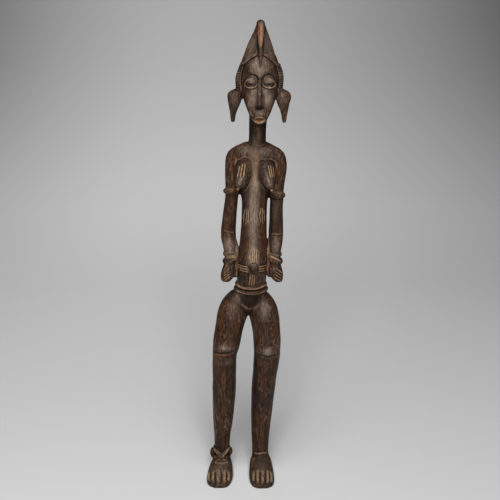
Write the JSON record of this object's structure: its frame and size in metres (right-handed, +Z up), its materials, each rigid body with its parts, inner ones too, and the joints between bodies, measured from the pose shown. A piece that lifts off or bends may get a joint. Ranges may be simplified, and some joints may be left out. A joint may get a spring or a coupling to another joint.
{
  "type": "carved wooden female figure",
  "caption": "Standing female figure carved from one block of dark hardwood, with a tall crest, side lobes, bands, belt and long legs.",
  "frame": {"origin": "middle of the figure's plan box, level with the soles", "axes": "+Z up along the figure, the face looks along -Y, +X to the viewer's right"},
  "size_m": [0.1346, 0.0978, 0.7498],
  "materials": {
    "wood": "dark brown handled patina with worn tan edges, softly waxy"
  },
  "bodies": {
    "root": {"carved_figure": "wood"}
  },
  "joints": []
}
